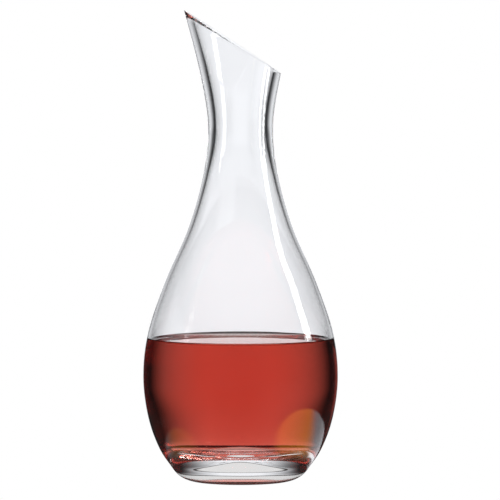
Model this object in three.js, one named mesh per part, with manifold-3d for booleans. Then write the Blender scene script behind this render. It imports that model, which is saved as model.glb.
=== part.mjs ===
// Wine decanter: a carafe blown from one gather of clear glass, with a slanted, polished pouring mouth, and the
// wine that fills it to a little above its widest part.
// Millimetres, +Z up. The origin is the centre of the foot, on the table, and the pouring lip points to -X.

import * as THREE from "three";
import { mergeVertices } from "three/addons/utils/BufferGeometryUtils.js";
import Module from "manifold-3d";

// Driving dimensions

const HEIGHT = 305; // table to the tip of the pouring lip
const LIP_RADIUS = 36.6; // axis to the tip of the lip
const LOW_RIM_HEIGHT = 264; // the low side of the mouth, opposite the lip
const LOW_RIM_RADIUS = 26.1;
const BELLY_RADIUS = 63;
const BELLY_HEIGHT = 69;
const NECK_RADIUS = 21;
const NECK_HEIGHT = 231;
const FILL_HEIGHT = 91; // table to the level of the wine

const FOOT_INNER_RADIUS = 16; // the flat ring that the decanter stands on
const FOOT_OUTER_RADIUS = 25;
const PUNT_RISE = 4; // the shallow hollow under the foot
const TROUGH_RADIUS = 26; // the lowest ring of the inside, over a heavy base
const TROUGH_HEIGHT = 21;
const DOME_RISE = 4; // the push-up of the inside floor above that ring
const TROUGH_EASE = 3; // how far the floor runs on outwards before it turns up
const WALL_EASE = 24; // how far down the wall keeps its own slope before it turns in

const GAP = 0.3; // clearance between the wine and the glass
const TURN_STEPS = 48; // facets around the axis
const SPAN_STEPS = 3; // outline points between two stations of the wall

// Stations of the wall from the heel to above the lip: outer radius, height, wall thickness.
const WALL_STATIONS = [
  [43.4, 8, 3.4],
  [52.6, 22, 3.3],
  [60, 43, 3],
  [BELLY_RADIUS, BELLY_HEIGHT, 2.7],
  [59.7, 97, 2.5],
  [48.5, 130, 2.2],
  [33.4, 165, 2.3],
  [23.8, 200, 2.9],
  [NECK_RADIUS, NECK_HEIGHT, 5.1],
  [26.3, 265, 5],
  [LIP_RADIUS, HEIGHT, 3.8],
  [42, 322, 3.4],
];
const FIRST_INNER_STATION = 2; // below this station the inside leaves the wall and turns in to the floor

const glassMaterial = new THREE.MeshStandardMaterial({
  name: "clear_glass",
  color: 0xeef1f3,
  roughness: 0.03,
  metalness: 0,
  transparent: true,
  opacity: 0.35,
});
const wineMaterial = new THREE.MeshStandardMaterial({
  name: "red_wine",
  color: 0xa81c16,
  roughness: 0.05,
  metalness: 0,
  transparent: true,
  opacity: 0.9,
});

// Outlines are lists of THREE.Vector2(radius, height).

// A smooth hollow or dome over a disc: full height on the axis, level again at the edge.
function domeOutline(edgeRadius, edgeHeight, rise, steps) {
  return Array.from({ length: steps + 1 }, (_, i) => {
    const share = i / steps;
    const height = edgeHeight + (rise * (1 + Math.cos(Math.PI * share))) / 2;
    return new THREE.Vector2(edgeRadius * share, height);
  });
}

// The point on the wall's smooth curve at a share of its length, with the direction that the wall faces there.
const wallCurve = new THREE.CatmullRomCurve3(
  WALL_STATIONS.map(([radius, height, wall]) => new THREE.Vector3(radius, height, wall)),
  false,
  "catmullrom",
);

function wallPoint(step, lastStep) {
  const point = wallCurve.getPoint(step / lastStep);
  const along = wallCurve.getTangent(step / lastStep);
  const outward = new THREE.Vector2(along.y, -along.x).normalize();
  return { outer: new THREE.Vector2(point.x, point.y), outward, wall: point.z };
}

// The outside: from the axis under the foot, out over the foot ring and the heel, and up the wall.
function outerOutline() {
  const lastStep = SPAN_STEPS * (WALL_STATIONS.length - 1);
  const wall = Array.from({ length: lastStep + 1 }, (_, step) => wallPoint(step, lastStep).outer);
  const heel = new THREE.CubicBezierCurve(
    new THREE.Vector2(FOOT_OUTER_RADIUS, 0),
    new THREE.Vector2(33, 0),
    new THREE.Vector2(39.5, 2.5),
    wall[0],
  );
  return [...domeOutline(FOOT_INNER_RADIUS, 0, PUNT_RISE, 6), ...heel.getPoints(5), ...wall.slice(1)];
}

// The inside: from the axis on the floor's dome, through the trough around it, and up the wall.
function innerOutline() {
  const lastStep = SPAN_STEPS * (WALL_STATIONS.length - 1);
  const wall = [];
  for (let step = FIRST_INNER_STATION * SPAN_STEPS; step <= lastStep; step++) {
    const { outer, outward, wall: thickness } = wallPoint(step, lastStep);
    wall.push(outer.clone().addScaledVector(outward, -thickness));
  }
  const upWall = wall[1].clone().sub(wall[0]).normalize();
  const corner = new THREE.CubicBezierCurve(
    new THREE.Vector2(TROUGH_RADIUS, TROUGH_HEIGHT),
    new THREE.Vector2(TROUGH_RADIUS + TROUGH_EASE, TROUGH_HEIGHT),
    wall[0].clone().addScaledVector(upWall, -WALL_EASE),
    wall[0],
  );
  const floor = domeOutline(TROUGH_RADIUS, TROUGH_HEIGHT, DOME_RISE, 6);
  return [...floor, ...corner.getPoints(6).slice(1), ...wall.slice(1)];
}

// An outline moved sideways by a distance, to its left as it is walked.
function shiftedOutline(outline, distance) {
  return outline.map((point, i) => {
    const before = outline[Math.max(i - 1, 0)];
    const after = outline[Math.min(i + 1, outline.length - 1)];
    const along = after.clone().sub(before).normalize();
    const moved = point.clone().add(new THREE.Vector2(-along.y, along.x).multiplyScalar(distance));
    return i === 0 ? new THREE.Vector2(0, point.y + distance) : moved;
  });
}

// The part of a rising outline that is below a level, ended exactly on it.
function outlineBelow(outline, level) {
  const above = outline.findIndex((point, i) => i > 0 && point.y > level && outline[i - 1].y <= level);
  const share = (level - outline[above - 1].y) / (outline[above].y - outline[above - 1].y);
  const last = outline[above - 1].clone().lerp(outline[above], share);
  return [...outline.slice(0, above), last];
}

// Solids

const wasm = await Module();
wasm.setup();

function revolved(outline) {
  return new THREE.LatheGeometry(outline, TURN_STEPS).rotateX(Math.PI / 2);
}

function solidOf(geometry) {
  const bare = geometry.clone();
  bare.deleteAttribute("normal");
  bare.deleteAttribute("uv");
  const merged = mergeVertices(bare);
  return new wasm.Manifold(
    new wasm.Mesh({
      numProp: 3,
      vertProperties: merged.attributes.position.array,
      triVerts: new Uint32Array(merged.index.array),
    }),
  );
}

function geometryOf(solid) {
  const mesh = solid.getMesh();
  const geometry = new THREE.BufferGeometry();
  geometry.setAttribute("position", new THREE.BufferAttribute(mesh.vertProperties, 3));
  geometry.setIndex(new THREE.BufferAttribute(mesh.triVerts, 1));
  geometry.computeVertexNormals();
  return geometry;
}

// The vessel is turned taller than it is, and its mouth is cut on a slant from the lip down to the low side.
function decanterGlass() {
  const outline = [...outerOutline(), ...innerOutline().reverse()];
  const blank = solidOf(revolved(outline));
  const size = 4 * BELLY_RADIUS;
  const tilt = Math.atan2(HEIGHT - LOW_RIM_HEIGHT, LIP_RADIUS + LOW_RIM_RADIUS);
  const cutter = new THREE.BoxGeometry(size, size, size);
  cutter.translate(0, 0, size / 2);
  cutter.rotateY(tilt);
  cutter.translate(-LIP_RADIUS, 0, HEIGHT);
  const mesh = new THREE.Mesh(geometryOf(blank.subtract(solidOf(cutter))), glassMaterial);
  mesh.name = "decanter_glass";
  return mesh;
}

// The wine keeps the shape of the inside, a gap away from the glass, with a level top.
function wineFill() {
  const wetted = outlineBelow(shiftedOutline(innerOutline(), GAP), FILL_HEIGHT);
  const outline = [...wetted, new THREE.Vector2(0, FILL_HEIGHT)];
  const mesh = new THREE.Mesh(revolved(outline), wineMaterial);
  mesh.name = "wine";
  return mesh;
}

const decanter = new THREE.Group();
decanter.add(decanterGlass(), wineFill());

export default decanter;
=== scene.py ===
"""A wine decanter: a carafe of clear blown glass with a slanted, polished mouth, and the red wine in it.

+Z is up, the foot stands on the table at the origin, and the pouring lip points to -X. The vessel and the
wine are worked out in millimetres, and the materials, the table, the light and the camera in metres. An
outline is a list of (radius, height) points, walked from the axis outwards and up, and a place on it is a
whole or part index into that list.
"""

import math

import bmesh
import bpy
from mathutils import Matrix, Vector, noise


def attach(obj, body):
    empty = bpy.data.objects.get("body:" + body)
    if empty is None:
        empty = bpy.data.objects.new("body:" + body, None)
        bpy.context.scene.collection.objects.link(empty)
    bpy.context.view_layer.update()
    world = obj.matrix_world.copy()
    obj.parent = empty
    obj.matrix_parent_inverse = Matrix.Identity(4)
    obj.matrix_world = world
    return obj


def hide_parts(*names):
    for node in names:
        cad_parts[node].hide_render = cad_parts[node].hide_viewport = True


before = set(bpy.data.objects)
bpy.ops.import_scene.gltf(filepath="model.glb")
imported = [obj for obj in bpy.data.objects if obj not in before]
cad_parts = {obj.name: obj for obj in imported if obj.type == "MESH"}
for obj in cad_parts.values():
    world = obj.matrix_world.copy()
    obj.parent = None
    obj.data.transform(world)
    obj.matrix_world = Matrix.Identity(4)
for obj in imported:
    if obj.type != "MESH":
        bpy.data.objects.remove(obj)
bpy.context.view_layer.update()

# ---------------------------------------------------------------- the vessel's dimensions, in millimetres

MM = 0.001

HEIGHT = 305.0  # table to the tip of the pouring lip
LIP_RADIUS = 36.6
LOW_RIM_HEIGHT = 264.0  # the low side of the mouth, opposite the lip
LOW_RIM_RADIUS = 26.1
RIM_EASE = 0.5  # the rounding that polishing leaves on both edges of the mouth
RIM_EASE_STEPS = 4

# Outer radius, height and wall thickness, from the heel to above the lip.
WALL_STATIONS = [
    (43.4, 8.0, 3.4),
    (52.6, 22.0, 3.3),
    (60.0, 43.0, 3.0),
    (63.0, 69.0, 2.7),
    (59.7, 97.0, 2.5),
    (48.5, 130.0, 2.2),
    (33.4, 165.0, 2.3),
    (23.8, 200.0, 2.9),
    (21.0, 231.0, 5.1),
    (26.3, 265.0, 5.0),
    (36.6, 305.0, 3.8),
    (42.0, 322.0, 3.4),
]
STATION_STEPS = 30  # outline points between two stations
FIRST_INNER_STATION = 2  # below this station the inside leaves the wall and turns in to the floor

FOOT_INNER_RADIUS = 16.0  # the flat ring that the decanter stands on
FOOT_OUTER_RADIUS = 25.0
HEEL_CONTROLS = [(33.0, 0.0), (39.5, 2.5)]  # the bezier handles of the heel, from the foot up to the wall
HEEL_STEPS = 20
PUNT_RISE = 4.0  # the shallow hollow under the foot
PUNT_STEPS = 20
TROUGH_RADIUS = 26.0  # the lowest ring of the inside, over a heavy base
TROUGH_HEIGHT = 21.0
TROUGH_EASE = 3.0  # how far the floor runs on outwards before it turns up
WALL_EASE = 24.0  # how far down the wall keeps its own slope before it turns in
CORNER_STEPS = 24
DOME_RISE = 4.0  # the push-up of the inside floor above the trough
DOME_STEPS = 30

FILL_HEIGHT = 91.0  # the level of the wine
MENISCUS_RISE = 2.0  # how far the wine climbs the glass
MENISCUS_END = 0.004  # where the meniscus has sunk to this rise, the surface counts as level
MENISCUS_SHRINK = 0.8  # each ring of the meniscus has this share of the last one's rise
CAPILLARY_LENGTH = 2.2
LEVEL_RINGS = 12
WETTED_OVERLAP = 0.02  # the wine's mesh stands this far inside the glass, so no air shows between them

RIPPLE_DEPTH = 0.02  # blowing leaves faint waves on both faces of the glass
RIPPLE_RISE_RATE = 0.6  # how fast the waves change up the glass, against around it
OUTER_RIPPLE_LENGTH = 31.0
INNER_RIPPLE_LENGTH = 23.0
INNER_RIPPLE_SHIFT = 500.0  # takes the inside's waves from another part of the noise

TURN_STEPS = 224  # directions around the axis
RING_SPACING = 1.6  # between the rings of the body
LEAN_HEIGHT = 200.0  # above it the rings lean over, little by little, to the slant of the mouth
LEAN_RINGS = 44
EDGE_ANGLE = math.radians(40)  # a sharper bend than this is shaded as an edge

# ---------------------------------------------------------------- outlines


def between(a, b, share):
    """The point a share of the way from a to b."""
    return (a[0] + (b[0] - a[0]) * share, a[1] + (b[1] - a[1]) * share)


def bezier(start, near_start, near_end, end, steps):
    """The points of a cubic bezier curve, with both its ends."""
    corners = (start, near_start, near_end, end)
    points = []
    for i in range(steps + 1):
        t = i / steps
        u = 1 - t
        weights = (u**3, 3 * u * u * t, 3 * u * t * t, t**3)
        points.append(tuple(sum(w * c[axis] for w, c in zip(weights, corners)) for axis in (0, 1)))
    return points


def dome(edge_radius, edge_height, rise, steps):
    """A smooth dome over a disc: full height on the axis, and level again at the edge."""
    points = []
    for i in range(steps + 1):
        share = i / steps
        points.append((edge_radius * share, edge_height + rise * (1 + math.cos(math.pi * share)) / 2))
    return points


def wall_points():
    """(outer point, inner point) along the smooth curve through the stations."""
    stations = [Vector(s) for s in WALL_STATIONS]
    padded = [2 * stations[0] - stations[1], *stations, 2 * stations[-1] - stations[-2]]
    points = []
    for span in range(len(stations) - 1):
        before, start, end, after = padded[span : span + 4]
        leaving, arriving = (end - before) / 2, (after - start) / 2
        cubic = 2 * start - 2 * end + leaving + arriving
        square = -3 * start + 3 * end - 2 * leaving - arriving
        is_last = span == len(stations) - 2
        for i in range(STATION_STEPS + 1 if is_last else STATION_STEPS):
            t = i / STATION_STEPS
            place = cubic * t**3 + square * t**2 + leaving * t + start
            along = 3 * cubic * t**2 + 2 * square * t + leaving
            length = math.hypot(along.x, along.y)
            inward = (-along.y / length * place.z, along.x / length * place.z)
            points.append(((place.x, place.y), (place.x + inward[0], place.y + inward[1])))
    return points


def outer_outline():
    """The outside: the punt under the foot, the foot ring, the heel and the wall."""
    wall = [outer for outer, _ in wall_points()]
    heel = bezier((FOOT_OUTER_RADIUS, 0), *HEEL_CONTROLS, wall[0], HEEL_STEPS)
    return dome(FOOT_INNER_RADIUS, 0, PUNT_RISE, PUNT_STEPS) + heel + wall[1:]


def inner_outline():
    """The inside: the dome of the floor, the trough around it and the wall."""
    wall = [inner for _, inner in wall_points()][FIRST_INNER_STATION * STATION_STEPS :]
    below_wall = between(wall[0], wall[1], -WALL_EASE / math.dist(wall[0], wall[1]))
    trough = (TROUGH_RADIUS, TROUGH_HEIGHT)
    past_trough = (TROUGH_RADIUS + TROUGH_EASE, TROUGH_HEIGHT)
    corner = bezier(trough, past_trough, below_wall, wall[0], CORNER_STEPS)
    return dome(TROUGH_RADIUS, TROUGH_HEIGHT, DOME_RISE, DOME_STEPS) + corner[1:] + wall[1:]


def point_at(outline, place):
    """The point at a place on an outline."""
    index = min(int(place), len(outline) - 2)
    return between(outline[index], outline[index + 1], place - index)


def place_of_height(outline, height):
    """Where the rising part of an outline passes a height."""
    for i in range(len(outline) - 1, 0, -1):
        low, high = outline[i - 1][1], outline[i][1]
        if low <= height < high:
            return i - 1 + (height - low) / (high - low)
    raise ValueError("the outline doesn't reach %s mm" % height)


def mouth_height(x):
    """The height of the mouth's slanted plane at a place across it."""
    return HEIGHT - (HEIGHT - LOW_RIM_HEIGHT) * (x + LIP_RADIUS) / (LIP_RADIUS + LOW_RIM_RADIUS)


def place_of_mouth(outline, toward_x):
    """Where an outline meets the mouth's plane; toward_x is the cosine of the angle it is turned to."""
    start = int(place_of_height(outline, LEAN_HEIGHT))
    for i in range(start, len(outline) - 1):
        below, above = (p[1] - mouth_height(p[0] * toward_x) for p in outline[i : i + 2])
        if below <= 0 < above:
            return i + below / (below - above)
    raise ValueError("the outline ends below the mouth")


def stepped_back(outline, place, distance):
    """The place that is a distance before another along an outline."""
    index = int(place)
    here = point_at(outline, place)
    while math.dist(outline[index], here) < distance:
        distance -= math.dist(outline[index], here)
        here = outline[index]
        place = index
        index -= 1
    return place - distance / math.dist(outline[index], outline[index + 1])


def evenly(outline, first, last, spacing):
    """Points from one place to another along an outline, about spacing apart."""
    points = [point_at(outline, first)]
    points += outline[int(first) + 1 : math.ceil(last)]
    points.append(point_at(outline, last))
    walked = [0.0]
    for a, b in zip(points, points[1:]):
        walked.append(walked[-1] + math.dist(a, b))
    count = max(1, round(walked[-1] / spacing))
    result = []
    span = 0
    for k in range(count):
        goal = walked[-1] * k / count
        while walked[span + 1] < goal:
            span += 1
        share = (goal - walked[span]) / (walked[span + 1] - walked[span])
        result.append(between(points[span], points[span + 1], share))
    return result + [points[-1]]


def eased_corner(start, corner, end):
    """The points between start and end on a curve that rounds a corner."""
    points = []
    for i in range(1, RIM_EASE_STEPS):
        t = i / RIM_EASE_STEPS
        points.append(between(between(start, corner, t), between(corner, end, t), t))
    return points


def offset(outline, distance):
    """An outline moved to its right as it is walked; its first point stays on the axis."""
    moved = [(outline[0][0], outline[0][1] - distance)]
    for i in range(1, len(outline)):
        radius, height = outline[i]
        before, after = outline[i - 1], outline[min(i + 1, len(outline) - 1)]
        share = distance / math.dist(before, after)
        moved.append((radius + (after[1] - before[1]) * share, height - (after[0] - before[0]) * share))
    return moved


def rippled(outline, angle, length, shift=0.0):
    """An outline with the waves that the glass has at an angle; a point on the axis stays there."""
    moved = []
    for radius, height in outline:
        around = (radius * math.cos(angle), radius * math.sin(angle))
        wave = noise.noise(Vector((*around, height * RIPPLE_RISE_RATE + shift)) / length)
        moved.append((radius + RIPPLE_DEPTH * wave if radius > 0 else radius, height))
    return moved


def meniscus_distance(rise):
    """The distance from a flat wall at which a meniscus has sunk to a rise, but for a constant."""
    ratio = rise / CAPILLARY_LENGTH
    return CAPILLARY_LENGTH * (math.acosh(2 / ratio) - math.sqrt(4 - ratio * ratio))


def surface_outline(edge_radius):
    """The wine's surface from the glass, where it climbs, in to the axis."""
    points = []
    rise = MENISCUS_RISE
    while rise > MENISCUS_END:
        inward = meniscus_distance(rise) - meniscus_distance(MENISCUS_RISE)
        points.append((edge_radius - inward, FILL_HEIGHT + rise))
        rise *= MENISCUS_SHRINK
    level_radius = points[-1][0]
    points += [(level_radius * (1 - i / LEVEL_RINGS), FILL_HEIGHT) for i in range(1, LEVEL_RINGS)]
    return points + [(0.0, FILL_HEIGHT)]


# ---------------------------------------------------------------- meshes


def revolved(name, columns):
    """A closed mesh through one column of points for each direction around the axis.

    All columns share their first and last points, on the axis. The faces come column by column, and each
    column has one face fewer than it has points.
    """
    steps = len(columns)
    rings = len(columns[0]) - 2
    verts = [(0, 0, columns[0][0][1] * MM), (0, 0, columns[0][-1][1] * MM)]
    for k, column in enumerate(columns):
        angle = 2 * math.pi * k / steps
        for radius, height in column[1:-1]:
            verts.append((radius * math.cos(angle) * MM, radius * math.sin(angle) * MM, height * MM))
    faces = []
    for k in range(steps):
        here = 2 + k * rings
        there = 2 + (k + 1) % steps * rings
        faces.append((0, here, there))
        faces += [(here + j, here + j + 1, there + j + 1, there + j) for j in range(rings - 1)]
        faces.append((1, there + rings - 1, here + rings - 1))
    mesh = bpy.data.meshes.new(name)
    mesh.from_pydata(verts, [], faces)
    mesh.polygons.foreach_set("use_smooth", [True] * len(faces))
    outward = bmesh.new()
    outward.from_mesh(mesh)
    bmesh.ops.recalc_face_normals(outward, faces=outward.faces)
    outward.to_mesh(mesh)
    outward.free()
    mesh.set_sharp_from_angle(angle=EDGE_ANGLE)
    piece = bpy.data.objects.new(name, mesh)
    bpy.context.scene.collection.objects.link(piece)
    return piece


def by_row(columns, value_of_row):
    """A value for each face of the mesh that is revolved from the columns, worked out from its row."""
    rows = len(columns[0]) - 1
    return [value_of_row(row) for _ in columns for row in range(rows)]


def inner_rings(inner):
    """The inside's rings below the wine's edge, and from there to where the rings start to lean."""
    contact = place_of_height(inner, FILL_HEIGHT + MENISCUS_RISE)
    lean = place_of_height(inner, LEAN_HEIGHT)
    return evenly(inner, 0, contact, RING_SPACING), evenly(inner, contact, lean, RING_SPACING)


def leaning_rings(outline, toward_x):
    """Rings from where they start to lean to just under the mouth, and the point in the mouth's plane."""
    start = place_of_height(outline, LEAN_HEIGHT)
    mouth = place_of_mouth(outline, toward_x)
    end = stepped_back(outline, mouth, RIM_EASE)
    rings = [point_at(outline, start + (end - start) * i / LEAN_RINGS) for i in range(1, LEAN_RINGS + 1)]
    return rings, point_at(outline, mouth)


def glass_vessel():
    """The glass, with the faces that the wine wets in material slot 1."""
    outer, inner = outer_outline(), inner_outline()
    wetted, dry = inner_rings(inner)
    body = evenly(outer, 0, place_of_height(outer, LEAN_HEIGHT), RING_SPACING)
    columns = []
    for k in range(TURN_STEPS):
        angle = 2 * math.pi * k / TURN_STEPS
        outer_lean, outer_edge = leaning_rings(outer, math.cos(angle))
        inner_lean, inner_edge = leaning_rings(inner, math.cos(angle))
        width = math.dist(outer_edge, inner_edge)
        outer_flat = between(outer_edge, inner_edge, RIM_EASE / width)
        inner_flat = between(inner_edge, outer_edge, RIM_EASE / width)
        rim = eased_corner(outer_lean[-1], outer_edge, outer_flat)
        rim += [outer_flat, between(outer_flat, inner_flat, 0.5), inner_flat]
        rim += eased_corner(inner_flat, inner_edge, inner_lean[-1])
        outside = rippled(body + outer_lean, angle, OUTER_RIPPLE_LENGTH)
        inside = rippled(wetted + dry[1:] + inner_lean, angle, INNER_RIPPLE_LENGTH, INNER_RIPPLE_SHIFT)
        columns.append(outside + rim + inside[::-1])
    piece = revolved("glass_vessel", columns)
    dry_rows = len(columns[0]) - len(wetted)
    slots = by_row(columns, lambda row: 0 if row < dry_rows else 1)
    piece.data.polygons.foreach_set("material_index", slots)
    return piece


def wine_body():
    """The wine. Its faces carry its index of refraction, relative to the glass or the air outside them."""
    wetted, _ = inner_rings(inner_outline())
    columns = []
    for k in range(TURN_STEPS):
        angle = 2 * math.pi * k / TURN_STEPS
        side = offset(rippled(wetted, angle, INNER_RIPPLE_LENGTH, INNER_RIPPLE_SHIFT), WETTED_OVERLAP)
        columns.append(side + surface_outline(side[-1][0])[1:])
    piece = revolved("red_wine_body", columns)
    side_rows = len(wetted) - 1
    outside_ior = by_row(columns, lambda row: GLASS_IOR if row < side_rows else AIR_IOR)
    relative = piece.data.attributes.new("relative_ior", "FLOAT", "FACE")
    relative.data.foreach_set("value", [WINE_IOR / ior for ior in outside_ior])
    return piece


# ---------------------------------------------------------------- nodes


class Nodes:
    """A node tree with a method for each kind of node that the materials and the room need.

    A value is a number, a colour, a vector or another node's output. All methods but put return an output.
    """

    def __init__(self, tree):
        self.tree = tree

    def put(self, socket, value):
        """Gives a socket its value."""
        if isinstance(value, bpy.types.NodeSocket):
            self.tree.links.new(value, socket)
        else:
            socket.default_value = value

    def value_math(self, operation, *values):
        node = self.tree.nodes.new("ShaderNodeMath")
        node.operation = operation
        for socket, value in zip(node.inputs, values):
            self.put(socket, value)
        return node.outputs[0]

    def chained(self, operation, total, *others):
        """An operation such as ADD or MAXIMUM over any number of values."""
        for other in others:
            total = self.value_math(operation, total, other)
        return total

    def vector_math(self, operation, first, second, second_socket=1, output="Vector"):
        node = self.tree.nodes.new("ShaderNodeVectorMath")
        node.operation = operation
        self.put(node.inputs[0], first)
        self.put(node.inputs[second_socket], second)
        return node.outputs[output]

    def added(self, first, second):
        return self.vector_math("ADD", first, second)

    def scaled(self, vector, amount):
        return self.vector_math("SCALE", vector, amount, second_socket="Scale")

    def distance(self, first, second):
        return self.vector_math("DISTANCE", first, second, output="Value")

    def dot(self, first, second):
        return self.vector_math("DOT_PRODUCT", first, second, output="Value")

    def map_range(self, interpolation, value, start, end, low, high):
        node = self.tree.nodes.new("ShaderNodeMapRange")
        node.interpolation_type = interpolation
        self.put(node.inputs["Value"], value)
        for name, number in (("From Min", start), ("From Max", end), ("To Min", low), ("To Max", high)):
            node.inputs[name].default_value = number
        return node.outputs["Result"]

    def fade(self, value, start, end, low=0.0, high=1.0):
        """A smooth change from low to high while the value goes from start to end."""
        return self.map_range("SMOOTHSTEP", value, start, end, low, high)

    def window(self, cosine, gone, full, level=1.0):
        """Light that is gone at one angle from the middle of a window and full at another, in degrees."""
        return self.fade(cosine, math.cos(math.radians(gone)), math.cos(math.radians(full)), 0.0, level)

    def mix(self, data_type, factor, when_zero, when_one):
        node = self.tree.nodes.new("ShaderNodeMix")
        node.data_type = data_type
        for name, value in (("Factor", factor), ("A", when_zero), ("B", when_one)):
            self.put(node.inputs[name], value)
        return node.outputs["Result"]

    def coordinates(self, output):
        return self.tree.nodes.new("ShaderNodeTexCoord").outputs[output]

    def light_path(self, output):
        return self.tree.nodes.new("ShaderNodeLightPath").outputs[output]


# ---------------------------------------------------------------- materials

AIR_IOR = 1.0
GLASS_IOR = 1.5
WINE_IOR = 1.34
UNBENT_IOR = 1.0  # light goes straight on
WINE_ABSORPTION = (5.2, 26.4, 30.5)  # per metre of wine, for red, green and blue light
ABSORPTION_MARGIN = 1.02  # the node's density, over the strongest of the three

# The faint unevenness of the surfaces, in metres.
GLASS_WAVE_LENGTH = 0.022
GLASS_WAVE_DEPTH = 0.00003
WINE_WAVE_LENGTH = 0.012
WINE_WAVE_DEPTH = 0.00001

WHITE = (1.0, 1.0, 1.0, 1.0)


def clear_material(name, ior, wave_length, wave_depth):
    """A material that light passes through and is bent by, with a faintly uneven surface."""
    material = bpy.data.materials.new(name)
    material.use_nodes = True
    nodes = Nodes(material.node_tree)
    shader = material.node_tree.nodes["Principled BSDF"]
    shader.inputs["Base Color"].default_value = WHITE
    shader.inputs["Roughness"].default_value = 0
    shader.inputs["Transmission Weight"].default_value = 1
    shader.inputs["IOR"].default_value = ior
    waves = material.node_tree.nodes.new("ShaderNodeTexNoise")
    waves.inputs["Scale"].default_value = 1 / wave_length
    waves.inputs["Detail"].default_value = 1
    nodes.put(waves.inputs["Vector"], nodes.coordinates("Object"))
    bump = material.node_tree.nodes.new("ShaderNodeBump")
    bump.inputs["Distance"].default_value = wave_depth
    nodes.put(bump.inputs["Height"], waves.outputs["Fac"])
    nodes.put(shader.inputs["Normal"], bump.outputs["Normal"])
    return material


def clear_glass():
    return clear_material("clear_glass", GLASS_IOR, GLASS_WAVE_LENGTH, GLASS_WAVE_DEPTH)


def wetted_glass():
    """Where the wine wets the glass, the wine's face bends the light, so the glass leaves it straight."""
    return clear_material("wetted_glass", UNBENT_IOR, GLASS_WAVE_LENGTH, GLASS_WAVE_DEPTH)


def red_wine():
    """The wine, coloured by how far light goes through it.

    Its index of refraction comes from its faces; the shader's own IOR value is WINE_IOR. The export
    can't hold that, and has WINE_IOR instead.
    """
    material = clear_material("red_wine", WINE_IOR, WINE_WAVE_LENGTH, WINE_WAVE_DEPTH)
    tree = material.node_tree
    relative = tree.nodes.new("ShaderNodeAttribute")
    relative.attribute_name = "relative_ior"
    tree.links.new(relative.outputs["Fac"], tree.nodes["Principled BSDF"].inputs["IOR"])
    absorption = tree.nodes.new("ShaderNodeVolumeAbsorption")
    density = ABSORPTION_MARGIN * max(WINE_ABSORPTION)
    absorption.inputs["Density"].default_value = density
    absorption.inputs["Color"].default_value = [1 - a / density for a in WINE_ABSORPTION] + [1]
    tree.links.new(absorption.outputs[0], tree.nodes["Material Output"].inputs["Volume"])
    return material


# ---------------------------------------------------------------- the decanter

glass = glass_vessel()
glass.data.materials.append(clear_glass())
glass.data.materials.append(wetted_glass())
wine = wine_body()
wine.data.materials.append(red_wine())

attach(glass, "root")
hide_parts("decanter_glass")
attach(wine, "root")
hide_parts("wine")

# ---------------------------------------------------------------- the table
#
# The table and the room are plain white to the camera. Rays that have gone through the glass, and rays that
# reflect off it, see them lit in some places and dark in others. That gives the glass its lines and strips.
# The table is no lamp, yet it glows: its lit places and dark places are painted light and painted shade.

FOOT_CENTRE = (0.0, 0.0, 0.0)
UP = (0.0, 0.0, 1.0)
BACK = (0.0, 1.0, 0.0)
FRONT = (0.0, -1.0, 0.0)
LEFT = (-1.0, 0.0, 0.0)
FRONT_RIGHT = (math.sqrt(0.5), -math.sqrt(0.5), 0.0)

TABLE_RADIUS = 0.35
TABLE_STEPS = 96
TABLE_DROP = 0.0002  # the table is this far below the foot, so that their faces don't share one plane
TABLE_NEAR = 0.8  # brightness through the glass, near the foot
TABLE_FAR = 0.05  # and further out, except towards the front right
TABLE_NEAR_RADIUS = 0.08
TABLE_FAR_RADIUS = 0.2
TABLE_DARK_ANGLE = 35  # degrees from the front right, where the far table is all dark
TABLE_LIT_ANGLE = 15  # and where it is all bright
TABLE_REFLECTED = 0.03  # brightness as the glass mirrors it

# Painted pools of light on the table, which the glass and the wine mirror: centre, radius, evenly lit share,
# and level.
LIT_PATCHES = [
    ((0.12, -0.01, 0.0), 0.10, 0.8, 3.3),
    ((-0.08, -0.02, 0.0), 0.05, 0.6, 1.0),
]
# the colours of the painted light in the patches
PATCH_WARM = (1.0, 0.35, 0.025, 1.0)
PATCH_COOL = (0.34, 0.36, 0.38, 1.0)
PATCH_WARM_END = -0.03  # the patches are warm in front of this Y
PATCH_COOL_START = 0.02  # and cool behind this one
FOOT_SHADE_RADIUS = 0.055  # painted shade: no patch lights the table this near the axis
FOOT_SHADE_END = 0.075


def seen_through_on_table(nodes, place, from_foot):
    """The table's painted light and shade to rays that have gone through the glass."""
    toward_front_right = nodes.value_math("DIVIDE", nodes.dot(place, FRONT_RIGHT), from_foot)
    lit = nodes.window(toward_front_right, TABLE_DARK_ANGLE, TABLE_LIT_ANGLE)
    far = nodes.fade(from_foot, TABLE_NEAR_RADIUS, TABLE_FAR_RADIUS)
    dark = nodes.value_math("MULTIPLY", far, nodes.value_math("SUBTRACT", 1.0, lit))
    return nodes.mix("FLOAT", dark, TABLE_NEAR, TABLE_FAR)


def mirrored_on_table(nodes, place, from_foot):
    """The table's painted light and shade as the glass or the wine mirrors it: warm and cool painted patches
    of light, shaded near the foot.
    """
    patches = []
    for centre, radius, even_share, level in LIT_PATCHES:
        patches.append(nodes.fade(nodes.distance(place, centre), radius, radius * even_share, 0.0, level))
    clear_of_foot = nodes.fade(from_foot, FOOT_SHADE_RADIUS, FOOT_SHADE_END)
    cool = nodes.fade(nodes.dot(place, BACK), PATCH_WARM_END, PATCH_COOL_START)
    colour = nodes.mix("RGBA", cool, PATCH_WARM, PATCH_COOL)
    level = nodes.value_math("MULTIPLY", nodes.chained("ADD", *patches), clear_of_foot)
    return nodes.added(nodes.scaled(colour, level), (TABLE_REFLECTED,) * 3)


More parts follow.
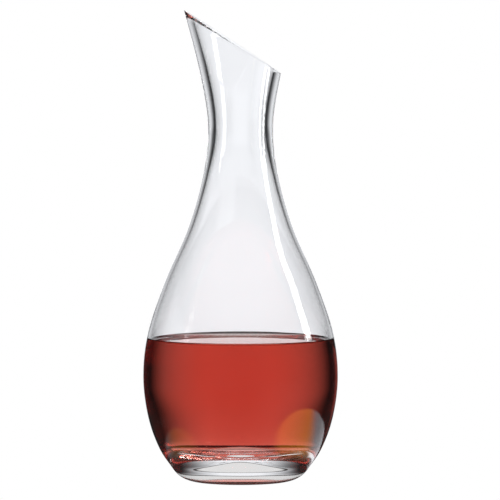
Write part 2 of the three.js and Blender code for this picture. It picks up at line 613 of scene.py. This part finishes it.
def table_material():
    material = bpy.data.materials.new("white_table_painted_light")
    material.use_nodes = True
    tree = material.node_tree
    tree.nodes.clear()
    nodes = Nodes(tree)
    place = nodes.coordinates("Object")
    from_foot = nodes.distance(place, FOOT_CENTRE)
    through = seen_through_on_table(nodes, place, from_foot)
    plain = nodes.mix("FLOAT", nodes.light_path("Is Camera Ray"), through, 1.0)
    mirrored = mirrored_on_table(nodes, place, from_foot)
    colour = nodes.mix("RGBA", nodes.light_path("Is Reflection Ray"), plain, mirrored)
    # the table is no lamp: this emission carries its painted light and painted shade
    emission = tree.nodes.new("ShaderNodeEmission")
    nodes.put(emission.inputs["Color"], colour)
    output = tree.nodes.new("ShaderNodeOutputMaterial")
    nodes.put(output.inputs["Surface"], emission.outputs[0])
    return material


def table_top():
    rim = []
    for k in range(TABLE_STEPS):
        angle = 2 * math.pi * k / TABLE_STEPS
        rim.append((TABLE_RADIUS * math.cos(angle), TABLE_RADIUS * math.sin(angle), -TABLE_DROP))
    mesh = bpy.data.meshes.new("table_top")
    mesh.from_pydata(rim, [], [tuple(range(TABLE_STEPS))])
    mesh.materials.append(table_material())
    piece = bpy.data.objects.new("table_top", mesh)
    bpy.context.scene.collection.objects.link(piece)
    return piece


floor = table_top()

# ---------------------------------------------------------------- the room
#
# Windows are measured in degrees from their middle. A height is the sine of the angle above the horizon, and
# a pair of heights says where a change starts and where it ends.

STUDIO_WHITE = (0.97, 0.985, 1.02, 1.0)  # the room's light, as the glass shows it

WINDOW_FULL = 10
WINDOW_GONE = 49
LEFT_GONE = 36
FRONT_LEVEL = 0.9
LOW_FALLOFF = 1.7  # the power by which the backdrop darkens to its sides, at the first of the heights
HIGH_FALLOFF = 3.2  # and at the second
FALLOFF_HEIGHTS = (0.0, 0.12)
WINDOW_TOP_HEIGHTS = (0.30, 0.38)

ROOM_LOW = 0.01  # brightness of the room beside the windows
ROOM_HIGH = 0.04
ROOM_HEIGHTS = (0.05, 0.20)
FRONT_RIGHT_HEIGHTS = (-0.05, -0.15)  # the bright corner of the table goes on past its edge
BELOW_HEIGHTS = (-0.27, -0.40)  # everything is bright below these
ABOVE_LEVEL = 0.12  # dim light above the windows
ABOVE_HEIGHTS = (0.38, 0.50)
OVERHEAD_HEIGHTS = (0.75, 0.90)  # everything is bright above these

# What the glass and the wine mirror is dark, but for the ceiling and the middle of the backdrop.
ROOM_REFLECTED = 0.02
CEILING_LEVEL = 1.3
CEILING_HEIGHTS = (0.35, 0.70)
GLINT_LEVEL = 0.9
GLINT_FULL = 6
GLINT_GONE = 14


def seen_through_in_room(nodes, direction, height):
    """The room's brightness to rays that have gone through the glass."""
    squared_height = nodes.value_math("MULTIPLY", height, height)
    level_length = nodes.value_math("SQRT", nodes.value_math("SUBTRACT", 1.0, squared_height))

    def facing(middle):
        """The cosine of the angle, seen from above, between a ray and the middle of a window."""
        return nodes.value_math("DIVIDE", nodes.dot(direction, middle), level_length)

    edges = (math.cos(math.radians(WINDOW_GONE)), math.cos(math.radians(WINDOW_FULL)))
    falloff = nodes.fade(height, *FALLOFF_HEIGHTS, LOW_FALLOFF, HIGH_FALLOFF)
    backdrop = nodes.value_math("POWER", nodes.map_range("LINEAR", facing(BACK), *edges, 0.0, 1.0), falloff)
    left = nodes.window(facing(LEFT), LEFT_GONE, WINDOW_FULL)
    front = nodes.window(facing(FRONT), WINDOW_GONE, WINDOW_FULL, FRONT_LEVEL)
    under_top = nodes.fade(height, *WINDOW_TOP_HEIGHTS, 1.0, 0.0)
    windows = nodes.value_math("MULTIPLY", nodes.chained("MAXIMUM", backdrop, left, front), under_top)
    front_right = nodes.window(facing(FRONT_RIGHT), WINDOW_GONE, WINDOW_FULL)
    low_window = nodes.value_math("MULTIPLY", front_right, nodes.fade(height, *FRONT_RIGHT_HEIGHTS))
    room = nodes.fade(height, *ROOM_HEIGHTS, ROOM_LOW, ROOM_HIGH)
    below = nodes.fade(height, *BELOW_HEIGHTS)
    above = nodes.fade(height, *ABOVE_HEIGHTS, 0.0, ABOVE_LEVEL)
    overhead = nodes.fade(height, *OVERHEAD_HEIGHTS)
    return nodes.chained("MAXIMUM", windows, low_window, room, below, above, overhead)


def mirrored_in_room(nodes, direction, height):
    """The room's brightness to rays that reflect off the glass or the wine."""
    ceiling = nodes.fade(height, *CEILING_HEIGHTS, 0.0, CEILING_LEVEL)
    glint = nodes.window(nodes.dot(direction, BACK), GLINT_GONE, GLINT_FULL, GLINT_LEVEL)
    return nodes.chained("MAXIMUM", ceiling, glint, ROOM_REFLECTED)


def white_studio():
    world = bpy.data.worlds.new("white_studio")
    world.use_nodes = True
    tree = world.node_tree
    tree.nodes.clear()
    nodes = Nodes(tree)
    direction = nodes.coordinates("Generated")
    height = nodes.dot(direction, UP)
    through = seen_through_in_room(nodes, direction, height)
    mirrored = mirrored_in_room(nodes, direction, height)
    seen_by_glass = nodes.mix("FLOAT", nodes.light_path("Is Reflection Ray"), through, mirrored)
    background = tree.nodes.new("ShaderNodeBackground")
    to_camera = nodes.light_path("Is Camera Ray")
    nodes.put(background.inputs["Color"], nodes.mix("RGBA", to_camera, STUDIO_WHITE, WHITE))
    nodes.put(background.inputs["Strength"], nodes.mix("FLOAT", to_camera, seen_by_glass, 1.0))
    output = tree.nodes.new("ShaderNodeOutputWorld")
    nodes.put(output.inputs["Surface"], background.outputs[0])
    return world


bpy.context.scene.world = white_studio()


def upright_softbox(name, azimuth, distance, bottom, top, width, radiance):
    """A tall softbox that faces the decanter; azimuth 0 is in front of it and 90 is on its +X side."""
    light = bpy.data.lights.new(name, "AREA")
    light.shape = "RECTANGLE"
    light.size = width
    light.size_y = top - bottom
    light.energy = radiance * math.pi * width * (top - bottom)
    piece = bpy.data.objects.new(name, light)
    bpy.context.scene.collection.objects.link(piece)
    angle = math.radians(azimuth)
    away = Vector((math.sin(angle), -math.cos(angle), 0))
    piece.location = away * distance + Vector((0, 0, (bottom + top) / 2))
    piece.rotation_mode = "QUATERNION"
    piece.rotation_quaternion = away.to_track_quat("Z", "Y")
    piece.visible_camera = False
    piece.visible_diffuse = False


upright_softbox("strip_right", azimuth=86, distance=0.25, bottom=0.14, top=0.90, width=0.038, radiance=10.0)

# ---------------------------------------------------------------- the camera

LENS = 500.0  # millimetres, as the sensor's width is
SENSOR = 36.0
VIEW_WIDTH = 0.323  # across the picture, at the decanter
VIEW_CENTRE = Vector((0.0061, 0, 0.150))
VIEW_ELEVATION = math.radians(3.0)

camera_data = bpy.data.cameras.new("camera")
camera_data.lens = LENS
camera_data.sensor_width = SENSOR
camera = bpy.data.objects.new("camera", camera_data)
bpy.context.scene.collection.objects.link(camera)
toward_camera = Vector((0, -math.cos(VIEW_ELEVATION), math.sin(VIEW_ELEVATION)))
camera.location = VIEW_CENTRE + toward_camera * VIEW_WIDTH * LENS / SENSOR
camera.rotation_mode = "QUATERNION"
camera.rotation_quaternion = toward_camera.to_track_quat("Z", "Y")

GLASS_BOUNCES = 36  # light is carried a long way inside the wall, up to the lip
TRANSPARENT_BOUNCES = 24

scene = bpy.context.scene
scene.camera = camera
scene.view_settings.view_transform = "Standard"
scene.cycles.max_bounces = GLASS_BOUNCES
scene.cycles.transmission_bounces = GLASS_BOUNCES
scene.cycles.glossy_bounces = GLASS_BOUNCES
scene.cycles.transparent_max_bounces = TRANSPARENT_BOUNCES
